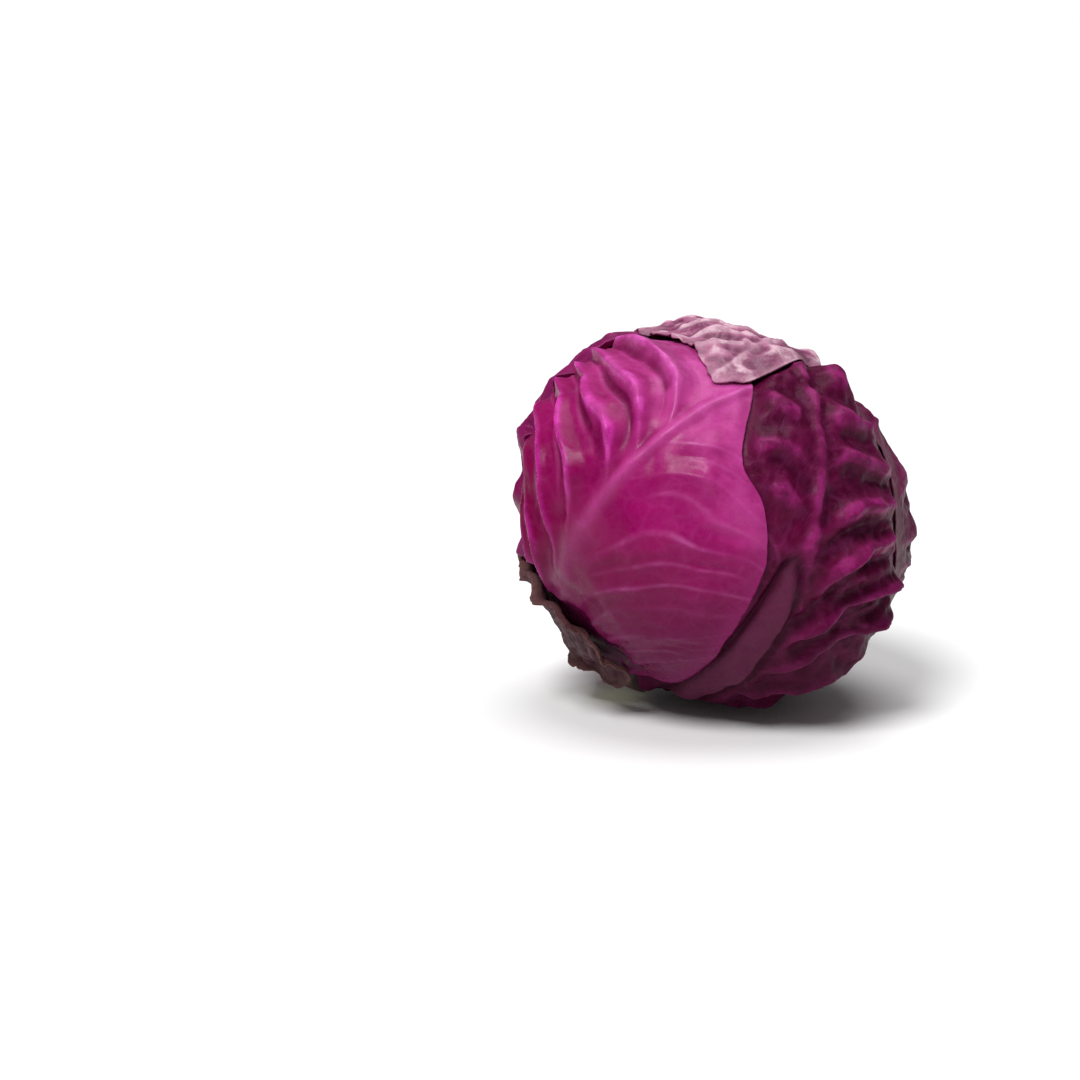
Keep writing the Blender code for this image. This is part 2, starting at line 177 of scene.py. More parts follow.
# %% Leaf outlines and ribs
LEAVES = {
    "leaf_right": {
        "longitude": -68, "lean": -12, "centre": -5,
        "outline": ((0, 72), (30, 76), (55, 86), (75, 98), (90, 102), (105, 88), (120, 66),
                    (140, 50), (160, 42), (180, 38), (210, 42), (235, 56), (250, 66), (262, 71),
                    (275, 70), (290, 76), (305, 80), (325, 80), (345, 75)),
        "left": (33, 16, 17, -21),
        "pleat": (2.6, 5.0), "crinkle": 3.2, "wave": 1.0, "waves": 11, "midrib": (9.5, 2.0, 2.6),
    },
    "leaf_back": {
        "longitude": 30, "lean": 0, "centre": 0,
        "outline": ((0, 58), (20, 60), (45, 66), (70, 76), (90, 82), (100, 79), (112, 74),
                    (125, 71), (138, 68), (150, 60), (161, 54), (180, 50), (200, 50), (220, 57),
                    (240, 70), (255, 79), (270, 76.5), (285, 79), (300, 74), (320, 68), (340, 60)),
        "left": (30, 15, 17, -15),
        "pleat": (3.6, 3.6), "crinkle": 2.2, "wave": 1.6, "waves": 13, "midrib": (8.0, 1.4, 1.4),
    },
    "leaf_front": {
        "longitude": -127.3, "lean": 11.5, "centre": -5,
        "outline": ((0, 52), (26, 50), (44, 46), (59, 40), (75, 44), (90, 54), (110, 69),
                    (130, 72), (155, 65), (180, 58), (205, 57), (230, 62), (250, 70), (265, 73),
                    (275, 71), (285, 72), (293, 76), (305, 75), (318, 68), (338, 57)),
        "left": (31, 12, 15, -13), "right": (110, 75, 22, -9),
        "pleat": (5.2, 1.5), "crinkle": 1.0, "wave": 0.8, "waves": 7, "midrib": (7.0, 1.6, 1.6),
    },
    "leaf_left": {
        "longitude": 165, "lean": 0, "centre": -10,
        "outline": ((0, 17), (20, 18), (40, 22), (60, 31), (80, 47), (100, 62), (120, 68),
                    (140, 66), (160, 62), (180, 60), (200, 60), (220, 62), (240, 67), (258, 69),
                    (270, 66.5), (282, 60), (295, 46), (310, 32), (335, 20)),
        "left": (30, 14, 17, -10),
        "pleat": (3.6, 3.6), "crinkle": 2.2, "wave": 5.0, "waves": 15, "midrib": (8.0, 1.4, 1.3),
    },
    "leaf_top": {
        "longitude": 85, "lean": 0, "centre": 45, "bow": 24,
        "outline": ((0, 48), (21, 50), (44, 58), (66, 65), (78, 73), (87, 84), (92, 90),
                    (95.5, 85), (99, 71), (103, 56), (110, 47), (133, 41), (180, 45), (207, 56),
                    (228, 74), (243, 96), (257, 113), (264, 121), (270, 121), (276, 121),
                    (283, 113), (297, 96), (312, 74), (333, 56)),
        "left": (30, 14, 17, -10),
        "pleat": (3.0, 3.0), "crinkle": 3.2, "wave": 1.4, "waves": 17, "midrib": (8.0, 1.2, 1.3),
    },
    "leaf_outer": {
        "longitude": -155, "lean": 0, "centre": -64,
        "outline": ((0, 25), (15, 20), (35, 21), (55, 15), (80, 14), (100, 19), (120, 17),
                    (140, 26), (155, 24), (170, 33), (190, 31), (210, 33), (235, 21), (252, 15),
                    (270, 12.5), (288, 15), (305, 19), (330, 29), (345, 25)),
        "left": (12, 10, 13, 0), "lift": 3.0,
        "pleat": (1.4, 1.4), "crinkle": 2.4, "wave": 3.4, "waves": 9, "midrib": (8.0, 4.0, 1.2),
    },
}
print(len(LEAVES), "leaves to lay")

# %% [markdown]
# ## A chart for each leaf
# The chart turns s and w into directions on the head and back. `share` says how far out a place
# lies: 0 at the leaf's centre and 1 on its margin. The outline runs smoothly through its points
# as a cubic curve.

# %% Charts
BOW_FROM = -20
BOW_LENGTH = 150
LOWEST_ALONG = -120


class Chart:
    """Angles on the head that belong to one leaf: s along its midrib, w across it."""

    def __init__(self, leaf):
        self.outward = head_direction(leaf["longitude"], 90)
        side = np.cross(AXIS, self.outward)
        lean = radians(leaf["lean"])
        self.up = cos(lean) * AXIS + sin(lean) * side
        self.right = cos(lean) * side - sin(lean) * AXIS
        self.centre = leaf["centre"]
        self.bow = leaf.get("bow", 0)
        self.angles = np.array([point[0] for point in leaf["outline"]], float)
        self.reaches = np.array([point[1] for point in leaf["outline"]], float)

    def bend(self, s):
        return self.bow * np.maximum(0, (s - BOW_FROM) / BOW_LENGTH) ** 2

    def directions(self, s, w):
        run = np.radians(s)[:, None]
        side = np.radians(w + self.bend(s))[:, None]
        level = np.cos(run) * self.outward + np.sin(run) * self.up
        return np.cos(side) * level + np.sin(side) * self.right

    def place(self, directions):
        out = directions @ self.outward
        rise = directions @ self.up
        s = np.degrees(np.arctan2(rise, out))
        s = np.where(s < LOWEST_ALONG, s + 360, s)
        w = np.degrees(np.arctan2(directions @ self.right, np.hypot(rise, out)))
        return s, w - self.bend(s)

    def reach(self, angle):
        count = len(self.angles)
        angle = np.mod(angle, 360)
        i1 = np.searchsorted(self.angles, angle, side="right") - 1
        i0, i2, i3 = (i1 - 1) % count, (i1 + 1) % count, (i1 + 2) % count
        a0 = self.angles[i0] - 360 * (i1 == 0)
        a1 = self.angles[i1]
        a2 = self.angles[i2] + 360 * (i1 + 1 >= count)
        a3 = self.angles[i3] + 360 * (i1 + 2 >= count)
        r0, r1, r2, r3 = (self.reaches[i] for i in (i0, i1, i2, i3))
        span = a2 - a1
        slope1 = (r2 - r0) / (a2 - a0)
        slope2 = (r3 - r1) / (a3 - a1)
        t = (angle - a1) / span
        rise = r1 * (2 * t**3 - 3 * t**2 + 1) + r2 * (3 * t**2 - 2 * t**3)
        return rise + span * (slope1 * (t**3 - 2 * t**2 + t) + slope2 * (t**3 - t**2))

    def share(self, s, w):
        angle = np.degrees(np.arctan2(s - self.centre, w))
        return np.hypot(s - self.centre, w) / self.reach(angle)


CHARTS = {name: Chart(leaf) for name, leaf in LEAVES.items()}


def cover(directions, below):
    """How many of the leaves above the one named lie over each direction, softly counted."""
    names = list(LEAVES)
    above = names[names.index(below) + 1:] if below in names else names
    total = np.zeros(len(directions))
    for name in above:
        chart = CHARTS[name]
        total += smooth_step(COVER_FADE, 1.0, chart.share(*chart.place(directions)))
    return total


print("charts for", ", ".join(CHARTS))

# %% [markdown]
# ## Main relief of a leaf
# The broad forms are the same as in the solids: pleats that follow the side ribs, soft crinkles
# from a noise, the midrib, and a waved margin. Where another leaf presses on it, a leaf is
# almost smooth.

# %% Main relief
TIP_RISE_LOSS = 0.5
TIP_RISE_AT = 40
MIDRIB_BASE_AT = -75
MIDRIB_TIP_AT = 20
PLEAT_FROM = 1.5
PLEAT_FULL = 12
PLEAT_FADE_FROM = 0.8
PLEAT_FADE_LEFT = 0.5
RIDGE_SHARPNESS = 2.2
PLEAT_VALLEY = 0.62
SOFT_SHARE = 0.35
UNEVEN = 1.1
UNEVEN_DENSITY = 3
UNEVEN_PLACE = (2, 5)
WANDER_DENSITY = 2.6
MARGIN_SHARPNESS = 9
CRINKLE_DENSITY = 6.0
FINE_DENSITY = 11.0
FINE_SHARE = 0.5
CRINKLE_PLACE = (3.1, 1.7, 0)
FINE_PLACE = (0.4, 5.2, 0)


def noise_at(points):
    return np.array([noise.noise(point) for point in points.tolist()])


def rib_phase(leaf, s, w):
    """Whole numbers lie on a side rib, halves midway between two."""
    left = np.array(leaf["left"])[:, None]
    right = np.array(leaf.get("right", leaf["left"]))[:, None]
    rise, spread, pitch, first = np.where(w < 0, left, right)
    rise = rise * (1 - TIP_RISE_LOSS * smooth_step(0, TIP_RISE_AT, s))
    return (s - rise * (1 - np.exp(-np.abs(w) / spread)) - first) / pitch


def midrib_profile(leaf, s, w):
    base, tip, _ = leaf["midrib"]
    width = tip + (base - tip) * smooth_step(MIDRIB_TIP_AT, MIDRIB_BASE_AT, s)
    return np.exp(-((w / width) ** 2))


def pleat_height(phase):
    """A pleat with a sharp crest, a broad side and a narrow one, mixed with a soft ridge."""
    soft = (0.5 + 0.5 * np.cos(2 * pi * phase)) ** RIDGE_SHARPNESS
    turn = phase - np.floor(phase)
    broad = 1 - turn / PLEAT_VALLEY
    narrow = (turn - PLEAT_VALLEY) / (1 - PLEAT_VALLEY)
    tent = np.where(turn < PLEAT_VALLEY, broad, narrow)
    return SOFT_SHARE * soft + (1 - SOFT_SHARE) * tent


def main_relief(leaf, fine, chart, s, w, phase, directions):
    pleat = np.where(w < 0, leaf["pleat"][0], leaf["pleat"][1]) * MM * fine["pleats"]
    share = chart.share(s, w)
    place = np.array((leaf["longitude"], *UNEVEN_PLACE))
    pleat = pleat * (1 + UNEVEN * noise_at(directions * UNEVEN_DENSITY + place))
    pleats = pleat * pleat_height(phase) * smooth_step(PLEAT_FROM, PLEAT_FULL, np.abs(w))
    pleats *= 1 - PLEAT_FADE_LEFT * smooth_step(PLEAT_FADE_FROM, 1.0, share)
    layer = np.array((0, 0, leaf["longitude"]))
    crinkle = noise_at(directions * CRINKLE_DENSITY + CRINKLE_PLACE + layer)
    small = noise_at(directions * FINE_DENSITY + FINE_PLACE + layer)
    crinkles = leaf["crinkle"] * fine["lumps"] * MM * (crinkle + FINE_SHARE * small)
    angle = np.arctan2(s - chart.centre, w)
    wave = 0.5 + 0.5 * np.sin(leaf["waves"] * angle + leaf["longitude"])
    margin = leaf["wave"] * MM * wave * np.minimum(share, 1.0) ** MARGIN_SHARPNESS
    return pleats + crinkles + margin


print("relief follows", RIDGE_SHARPNESS, "as the sharpness of a pleat")

# %% [markdown]
# ## Fine features of each leaf
# Up close a leaf has much more: a thin raised vein on the crest of every pleat, weaker veins
# between them, small folds, creases, a net of small veins with puckered skin in its meshes, and a
# torn, slightly curled margin. Each leaf has its own values. Heights are in millimetres, `net` and
# `crease scale` say how close together the forms are, and the rest are shares.

# %% Fine features
# One row for each feature, with a value for each leaf in the order of LEAVES
FEATURES = {
    "crest": ((0.5, 0.7), (0.9, 0.9), (0.8, 0.22), (0.9, 0.9), (0.5, 0.5), (0.5, 0.5)),
    "between": (0.4, 0.6, 0.5, 0.6, 0.5, 0.3),
    "net": (11.0, 9.0, 8.0, 9.0, 11.0, 14.0),
    "pucker": (0.6, 0.6, 0.15, 0.5, 0.7, 0.6),
    "small": (0.3, 0.3, 0.06, 0.25, 0.4, 0.4),
    "curl": (0.3, 0.3, 0.5, 0.6, 0.7, 1.6),
    "torn": (0.012, 0.015, 0.006, 0.02, 0.03, 0.035),
    "wander": (0.45, 0.4, 0.6, 0.4, 0.5, 0.3),
    "pleats": (1.1, 0.7, 0.95, 1.0, 1.0, 1.0),
    "crease": (1.8, 1.2, 0.35, 1.1, 2.3, 1.2),
    "crease scale": (7.0, 5.0, 4.0, 5.0, 7.0, 8.0),
    "net vein": (0.35, 0.35, 0.12, 0.3, 0.5, 0.5),
    "lumps": (0.7, 0.9, 1.0, 0.9, 0.8, 1.0),
    "fold": (1.0, 0.4, 0.3, 0.5, 0.5, 0.3),
    "hug": (0.9, 0.97, 0.9, 0.95, 0.95, 0.0),
    "tone": (1.6, 1.7, 1.9, 1.6, 0.9, 1.3),
}
FINE = {name: {label: row[index] for label, row in FEATURES.items()}
        for index, name in enumerate(LEAVES)}
# Where along the midrib, in degrees, a leaf's colours run from its base to its tip
WHOLE_RUN = (-90, 90)
RUNS = {"leaf_top": (-47, 172)}
# The dull fold on a midrib: places along it, and half its width at each, in degrees
KEELS = {"leaf_right": ((-80, -66, -52, -36, -20, -6, 4, 9),
                        (0, 2.4, 4.2, 5.0, 4.9, 3.7, 2.1, 0))}
print("fine features for", len(FINE), "leaves")

# %% [markdown]
# ## Fine relief of a leaf
# The net comes from Voronoi cells, whose borders look just like leaf veins. The creases come from
# a ridged fractal, and the small folds repeat the pleats more closely.

# %% Fine relief
VEIN_WIDTH = 0.05
WEAK_VEIN = 0.6
WARP = 0.35
WARP_DENSITY = 0.8
NET_WIDTH = 0.13
MESH_WIDTH = 0.45
MESH_LEVEL = 0.5
SMALL_MESH_LEVEL = 0.4
SMALL_NET = 2.3
SMALL_NET_SHIFT = 7
VEIN_DENSITY = 3.5
VEIN_EVEN = 0.55
VEIN_UNEVEN = 0.9
# Roughness, growth, octaves, offset and gain of the fractal
CREASE_KIND = (0.9, 2.1, 3, 1.0, 1.6)
CREASE_MOST = 1.1
CURL_FROM = 0.93
BESIDE_FROM = 6
BESIDE_FULL = 18
FOLDS_PER_PLEAT = 3
FOLD_DENSITY = 4.0
FOLD_DRIFT = 1.1
# Without a fixed seed, noise_vector gives other vectors in every run
NOISE_SEED = 5
noise.seed_set(NOISE_SEED)


def net_at(points):
    """How far each point is from the border between two Voronoi cells."""
    near = np.array([noise.voronoi(point)[0][:2] for point in points.tolist()])
    return near[:, 1] - near[:, 0]


def warped(directions, scale, shift):
    """Points on the head, pushed about a little so that the net's borders bend."""
    points = directions * scale + shift
    turns = np.array([noise.noise_vector(point) for point in (points * WARP_DENSITY).tolist()])
    return points + WARP * turns


def vein_lines(phase, w):
    """Crests of the side ribs and of the weaker ribs between them, each 0 to 1."""
    main = np.exp(-(((phase - np.round(phase)) / VEIN_WIDTH) ** 2))
    half = phase + 0.5
    weak = np.exp(-(((half - np.round(half)) / VEIN_WIDTH) ** 2))
    main = main * smooth_step(0, 4, np.abs(w))
    return main, weak * smooth_step(BESIDE_FROM, BESIDE_FULL, np.abs(w))


def creases(points):
    """Sharp, branching creases between 0 and about 1, from a ridged fractal."""
    values = [noise.ridged_multi_fractal(point, *CREASE_KIND) for point in points.tolist()]
    return np.clip(np.array(values) / 2, 0, CREASE_MOST)


def fine_relief(fine, phase, w, share, directions, shift):
    """The fine height in metres, and the mask of the veins."""
    main, weak = vein_lines(phase, w)
    crest = np.where(w < 0, fine["crest"][0], fine["crest"][1]) * MM
    cells = net_at(warped(directions, fine["net"], shift))
    small = net_at(warped(directions, fine["net"] * SMALL_NET, shift + SMALL_NET_SHIFT))
    net = np.exp(-((cells / NET_WIDTH) ** 2))
    small_net = np.exp(-((small / NET_WIDTH) ** 2))
    mesh = 1 - np.exp(-((cells / MESH_WIDTH) ** 2))
    small_mesh = 1 - np.exp(-((small / MESH_WIDTH) ** 2))
    uneven = VEIN_EVEN + VEIN_UNEVEN * noise_at(directions * VEIN_DENSITY - shift)
    main = main * np.clip(uneven, 0.15, 1)
    weak = weak * np.clip(1.1 - uneven, 0, 1)
    height = crest * (main + WEAK_VEIN * weak) + 0.4 * fine["between"] * MM * weak
    height += fine["pucker"] * MM * (MESH_LEVEL - mesh)
    height += fine["small"] * MM * (SMALL_MESH_LEVEL - small_mesh)
    height += fine["crease"] * MM * (creases(directions * fine["crease scale"] + shift) - 0.5)
    height += fine["curl"] * MM * smooth_step(CURL_FROM, 1.0, share)
    drift = FOLD_DRIFT * noise_at(directions * FOLD_DENSITY + shift)
    folds = pleat_height(FOLDS_PER_PLEAT * phase + drift) - 0.5
    height += fine["fold"] * MM * folds * smooth_step(BESIDE_FROM, BESIDE_FULL, np.abs(w))
    vein = np.maximum(main, 0.7 * weak) * (1 - 0.5 * smooth_step(0.4, 1.0, share))
    vein = np.maximum(vein, fine["net vein"] * net)
    return height, np.maximum(vein, 0.6 * fine["net vein"] * small_net)


print("fine relief ready")

# %% [markdown]
# ## Laying one leaf on the others
# A ray from outside finds how high the pieces below already are. The result is widened and then
# blurred, so that a leaf drapes softly over the margin of the one below and never cuts it. Its own
# margin then sinks back onto what lies below, except close to the stalk, where every leaf is kept
# beside the stump.

# %% Laying a leaf
CELLS = {"leaf_top": (150, 310), "leaf_outer": (110, 110)}
MOST_CELLS = (215, 215)
DRAPE = 3
# The margin hugs the leaf below from this share of the leaf's reach, and by no more than this
HUG_FROM = 0.72
HUG_FULL = 0.98
HUG_MOST = 4.6 * MM
# How many softening passes separate a fold from its surroundings
NEAR = 1
AROUND = 8
STALK_CLEAR = radians(14.3)
HUG_CLEAR = radians(24)


def heights_below(directions, stack):
    highest = np.zeros(len(directions))
    centre = Vector(CENTRE)
    for index, direction in enumerate(directions.tolist()):
        ray = Vector(direction)
        start = centre + ray * FAR
        for tree in stack:
            distance = tree.ray_cast(start, -ray, FAR)[3]
            if distance is not None:
                highest[index] = max(highest[index], FAR - distance)
    return highest


def neighbours(grid):
    rows, columns = grid.shape
    padded = np.pad(grid, 1, mode="edge")
    return np.array([padded[i:i + rows, j:j + columns] for i in range(3) for j in range(3)])


def drape(values, shape):
    grid = values.reshape(shape)
    for _ in range(DRAPE):
        grid = neighbours(grid).max(axis=0)
    return soften(grid.ravel(), shape, DRAPE)


def soften(values, shape, passes):
    grid = values.reshape(shape)
    for _ in range(passes):
        grid = neighbours(grid).mean(axis=0)
    return grid.ravel()


def local_height(values, shape):
    """How far each value stands above its surroundings."""
    near = soften(values, shape, NEAR)
    return near - soften(near, shape, AROUND)


def beside_stalk(directions):
    """Directions too near the stalk are moved out to its side."""
    along = directions @ -AXIS
    aside = directions + along[:, None] * AXIS
    aside /= np.maximum(np.linalg.norm(aside, axis=1), MM)[:, None]
    rim = sin(STALK_CLEAR) * aside - cos(STALK_CLEAR) * AXIS
    return np.where((along > cos(STALK_CLEAR))[:, None], rim, directions)


def lay_on(stack, fine, share, directions, outside, thickness, shape):
    """The outer height of a leaf that lies on the stack and hugs it with its margin."""
    rest = resting_surface(directions)
    below = drape(heights_below(directions, stack) / rest, shape) * rest
    laid = below + LEAF_GAP + thickness
    outside = np.maximum(outside, laid)
    hug = fine["hug"] * smooth_step(HUG_FROM, HUG_FULL, share)
    hug *= smooth_step(STALK_CLEAR, HUG_CLEAR, angle_between(directions, -AXIS))
    return outside - hug * np.minimum(outside - laid, HUG_MOST)


print("grid of", MOST_CELLS, "cells for most leaves")

# %% [markdown]
# ## Mesh helpers
# Small steps that every piece needs: picking one object, applying its modifiers, reading and
# writing all its vertices at once, and keeping a mask with its mesh for the shader to read.

# %% Mesh helpers
def deselect():
    bpy.ops.object.select_all(action="DESELECT")


def only(thing):
    deselect()
    thing.select_set(True)
    bpy.context.view_layer.objects.active = thing


def apply_modifiers(thing):
    only(thing)
    for modifier in list(thing.modifiers):
        bpy.ops.object.modifier_apply(modifier=modifier.name)


def vertex_array(mesh):
    flat = np.empty(len(mesh.vertices) * 3)
    mesh.vertices.foreach_get("co", flat)
    return flat.reshape(-1, 3)


def set_vertices(mesh, places):
    mesh.vertices.foreach_set("co", np.ascontiguousarray(places, np.float32).ravel())
    mesh.update()


def add_mask(mesh, name, values):
    mask = mesh.attributes.new(name, "FLOAT", "POINT")
    mask.data.foreach_set("value", np.clip(values, 0, 1).astype(np.float32))


def tree_of(thing):
    return BVHTree.FromObject(thing, bpy.context.evaluated_depsgraph_get())


print("mesh helpers ready")

# %% [markdown]
# ## Making one leaf
# A leaf starts as a grid from Add Mesh. Its square is pressed into a disc and stretched to the
# leaf's outline, then every vertex goes to its height. That sheet is the leaf's outer side.
# Solidify thickens it inwards, thick along the midrib and thin at the margin, with a vertex group
# as its guide. Edit mode can't follow a rule like this, so the vertices are moved in code.

# %% Leaf maker
TORN_COARSE = (9, 9, 1)
TORN_SMALL = (23, 23, 1)
TORN_SMALL_SHARE = 0.6
TORN_NEAR_MARGIN = 8
KEEL_ASIDE = -3.0
KEEL_ROUND = 1.2 * MM
KEEL_SOFT = 0.5
KEEL_SMOOTH = 0.55
GROOVE_DEPTH = 2.0 * MM
GROOVE_WIDTH = 1.1
GROOVE_ASIDE = 0.3
THIN_FROM = 0.9
EDGE_FROM = 0.86
LOW_FROM = 0.15
LOW_FULL = -0.75


def torn_margin(leaf, fine, angle, out):
    """The reach of a leaf as a share of its outline, with small tears near the margin."""
    layer = np.full_like(angle, leaf["longitude"])
    margin = np.stack((np.cos(angle), np.sin(angle), layer), 1)
    torn = noise_at(margin * TORN_COARSE) + TORN_SMALL_SHARE * noise_at(margin * TORN_SMALL)
    return 1 + fine["torn"] * torn * out**TORN_NEAR_MARGIN


def keel_forms(profile, s, w):
    """The narrow fold on the outer side of a midrib: its mask, the groove round it, its back."""
    width = np.interp(s, *profile)
    aside = np.abs(w - KEEL_ASIDE)
    keel = smooth_step(width + KEEL_SOFT, width - KEEL_SOFT, aside) * smooth_step(0, 1, width)
    groove = np.exp(-(((aside - width - GROOVE_ASIDE) / GROOVE_WIDTH) ** 2))
    groove = groove * smooth_step(0, 1.5, width)
    arch = np.sqrt(np.clip(1 - (aside / np.maximum(width, 0.1)) ** 2, 0, 1))
    return keel, groove, arch * smooth_step(0, 3, width)


def keep_thickness(thing, thickness):
    group = thing.vertex_groups.new(name="thickness")
    for index, value in enumerate((thickness / RIB_THICKNESS).tolist()):
        group.add([index], value, "REPLACE")


def thicken(thing):
    solid = thing.modifiers.new("Leaf thickness", "SOLIDIFY")
    solid.thickness = RIB_THICKNESS
    solid.offset = -1.0
    solid.vertex_group = "thickness"
    apply_modifiers(thing)
    thing.vertex_groups.clear()
    thing.data.shade_smooth()


def make_leaf(name, stack):
    leaf, fine, chart = LEAVES[name], FINE[name], CHARTS[name]
    columns, rows = CELLS.get(name, MOST_CELLS)
    deselect()
    bpy.ops.mesh.primitive_grid_add(x_subdivisions=columns, y_subdivisions=rows, size=2)
    thing = bpy.context.active_object
    thing.name = "skin_" + name
    mesh = thing.data
    shape = (rows + 1, columns + 1)

    # The square becomes a disc, the disc the leaf's outline in its chart
    x, y, _ = vertex_array(mesh).T
    across = x * np.sqrt(1 - y**2 / 2)
    along = y * np.sqrt(1 - x**2 / 2)
    angle = np.arctan2(along, across)
    out = np.hypot(across, along)
    reach = chart.reach(np.degrees(angle)) * torn_margin(leaf, fine, angle, out)
    s = chart.centre + reach * along
    w = reach * across
    directions = beside_stalk(chart.directions(s, w))

    # Relief, smoothed where another leaf or the floor presses on it
    share = chart.share(s, w)
    loose = 1 - PRESSED_SHARE * np.minimum(1, cover(directions, name))
    free = 1 - smooth_step(PRESSED_FROM, PRESSED_TO, angle_between(directions, DOWN))
    rib = midrib_profile(leaf, s, w)
    shift = np.array((0.3, 0.6, leaf["longitude"]))
    phase = rib_phase(leaf, s, w) + fine["wander"] * noise_at(directions * WANDER_DENSITY + shift)
    height = main_relief(leaf, fine, chart, s, w, phase, directions)
    detail, vein = fine_relief(fine, phase, w, share, directions, shift)
    raised = leaf["midrib"][2] * MM * rib
    keel = groove = np.zeros(len(s))
    if name in KEELS:
        keel, groove, arch = keel_forms(KEELS[name], s, w)
        raised += KEEL_ROUND * arch - GROOVE_DEPTH * groove
        detail *= 1 - KEEL_SMOOTH * keel
    relief = ((height + detail) * loose + raised) * free
    relief = (relief + soften(relief, shape, 1)) / 2
    relief += leaf.get("lift", 0) * MM * share

    # The outer side goes to its height, on the stack and above the floor
    thickness = BLADE + (RIB_THICKNESS - BLADE) * rib
    thickness *= 1 - (1 - MARGIN_SHARE) * smooth_step(THIN_FROM, 1.0, share)
    depth = LAYER_STEP * cover(directions, name)
    outside = softly_below(head_surface(directions) - depth + relief, box_limit(directions))
    outside = lay_on(stack, fine, share, directions, outside, thickness, shape)
    outside = np.minimum(outside, floor_limit(directions, depth))
    set_vertices(mesh, CENTRE + directions * outside[:, None])
    keep_thickness(thing, thickness)
    stand = local_height(relief, shape)
    # The masks carry painted light: stand gives painted shade in hollows and painted highlight on
    # crests, groove painted shade round the fold, along painted light at the tip and painted shade
    # at the base, and low painted shade on the underside.
    masks = {
        "vein": vein, "rib": rib, "stand": 0.5 + stand / (fine["tone"] * MM) - groove,
        "keel": keel, "groove": groove, "edge": smooth_step(EDGE_FROM, 1.0, share),
        "along": np.interp(s, RUNS.get(name, WHOLE_RUN), (0, 1)),
        # low: the underside, for its painted shade
        "low": smooth_step(LOW_FROM, LOW_FULL, directions[:, 2]),
    }
    for label, values in masks.items():
        add_mask(mesh, label, values)
    thicken(thing)
    return thing


print("leaf maker ready")

# %% [markdown]
# ## The leaf skin
# Red cabbage is not one purple. The skin is darker in its hollows, which is painted shade, and paler
# on the crests, which is waxy bloom and painted highlight. It is whitish along the ribs, darker and
# duller towards the floor, which is painted shade with a duller hue, and dull near the margin. All
# leaves share one node group for this. It reads the masks that were kept with each mesh, and every
# leaf gives it its own colours.

# %% Node helpers
GRAIN_ROUGHNESS = 0.55


def group_of(name, inputs, outputs):
    tree = bpy.data.node_groups.new(name, "ShaderNodeTree")
    for label, kind, value in inputs:
        socket = tree.interface.new_socket(name=label, in_out="INPUT", socket_type=kind)
        socket.default_value = value
    for label, kind in outputs:
        tree.interface.new_socket(name=label, in_out="OUTPUT", socket_type=kind)
    return tree, tree.nodes.new("NodeGroupInput"), tree.nodes.new("NodeGroupOutput")


def plug(tree, socket, value):
    if isinstance(value, bpy.types.NodeSocket):
        tree.links.new(value, socket)
    elif isinstance(value, tuple) and len(value) == 3 and socket.type == "RGBA":
        socket.default_value = (*value, 1)
    else:
        socket.default_value = value


def set_inputs(node, values):
    for label, value in values.items():
        node.inputs[label].default_value = value


def mix(tree, factor, first, second):
    node = tree.nodes.new("ShaderNodeMix")
    node.data_type = "RGBA"
    plug(tree, node.inputs[0], factor)
    plug(tree, node.inputs[6], first)
    plug(tree, node.inputs[7], second)
    return node.outputs[2]


def calc(tree, operation, first, second):
    node = tree.nodes.new("ShaderNodeMath")
    node.operation = operation
    plug(tree, node.inputs[0], first)
    plug(tree, node.inputs[1], second)
    return node.outputs[0]


def times(tree, first, second):
    return calc(tree, "MULTIPLY", first, second)


def ramp(tree, value, low, high, to_low=0.0, to_high=1.0):
    node = tree.nodes.new("ShaderNodeMapRange")
    node.interpolation_type = "SMOOTHSTEP"
    plug(tree, node.inputs["Value"], value)
    set_inputs(node, {"From Min": low, "From Max": high, "To Min": to_low, "To Max": to_high})
    return node.outputs["Result"]


def mask(tree, name):
    node = tree.nodes.new("ShaderNodeAttribute")
    node.attribute_name = name
    return node.outputs["Fac"]


def grain(tree, scale, detail=3.0):
    where = tree.nodes.new("ShaderNodeTexCoord")
    node = tree.nodes.new("ShaderNodeTexNoise")
    tree.links.new(where.outputs["Object"], node.inputs["Vector"])
    set_inputs(node, {"Scale": scale, "Detail": detail, "Roughness": GRAIN_ROUGHNESS})
    return node.outputs["Fac"]


def bump(tree, height, strength, distance, normal=None):
    node = tree.nodes.new("ShaderNodeBump")
    plug(tree, node.inputs["Strength"], strength)
    node.inputs["Distance"].default_value = distance
    plug(tree, node.inputs["Height"], height)
    if normal is not None:
        tree.links.new(normal, node.inputs["Normal"])
    return node.outputs["Normal"]


print("node helpers ready")

# %% [markdown]
# ## Mixing the leaf skin
# The colour is laid on in coats: blade and a paler tip, which is painted light; a darker colour near
# the leaf's base, which is painted shade with a deeper hue; the darker underside, painted shade with
# a duller hue; painted shade in the hollows; bloom and painted highlight on the crests; veins and
# rib; the fold, with painted shade in its groove; the margin; and last a few dark specks. Three
# sizes of bump then break up the shine.

# %% Leaf skin group
GREY = (0.5, 0.5, 0.5, 1)
CLOUD_SCALE = 45
PATCH_SCALE = 140
SPECK_SCALE = 900
WAX_SCALE = 260
FOLDED_SCALE = 190
FOLDED_DEPTH = 2.5 * MM
PORE_SCALE = 420
PORE_DEPTH = 0.4 * MM
PORE_STRENGTH = 0.35
DUST_SCALE = 1500
DUST_DEPTH = 0.2 * MM
DUST_STRENGTH = 0.2
STRENGTHS = ("Vein", "Rib", "Margin", "Base", "Tip")
COLOURS = ("Blade", "Deep", "Crest", "Vein", "Margin", "Low", "Keel", "Base", "Tip")


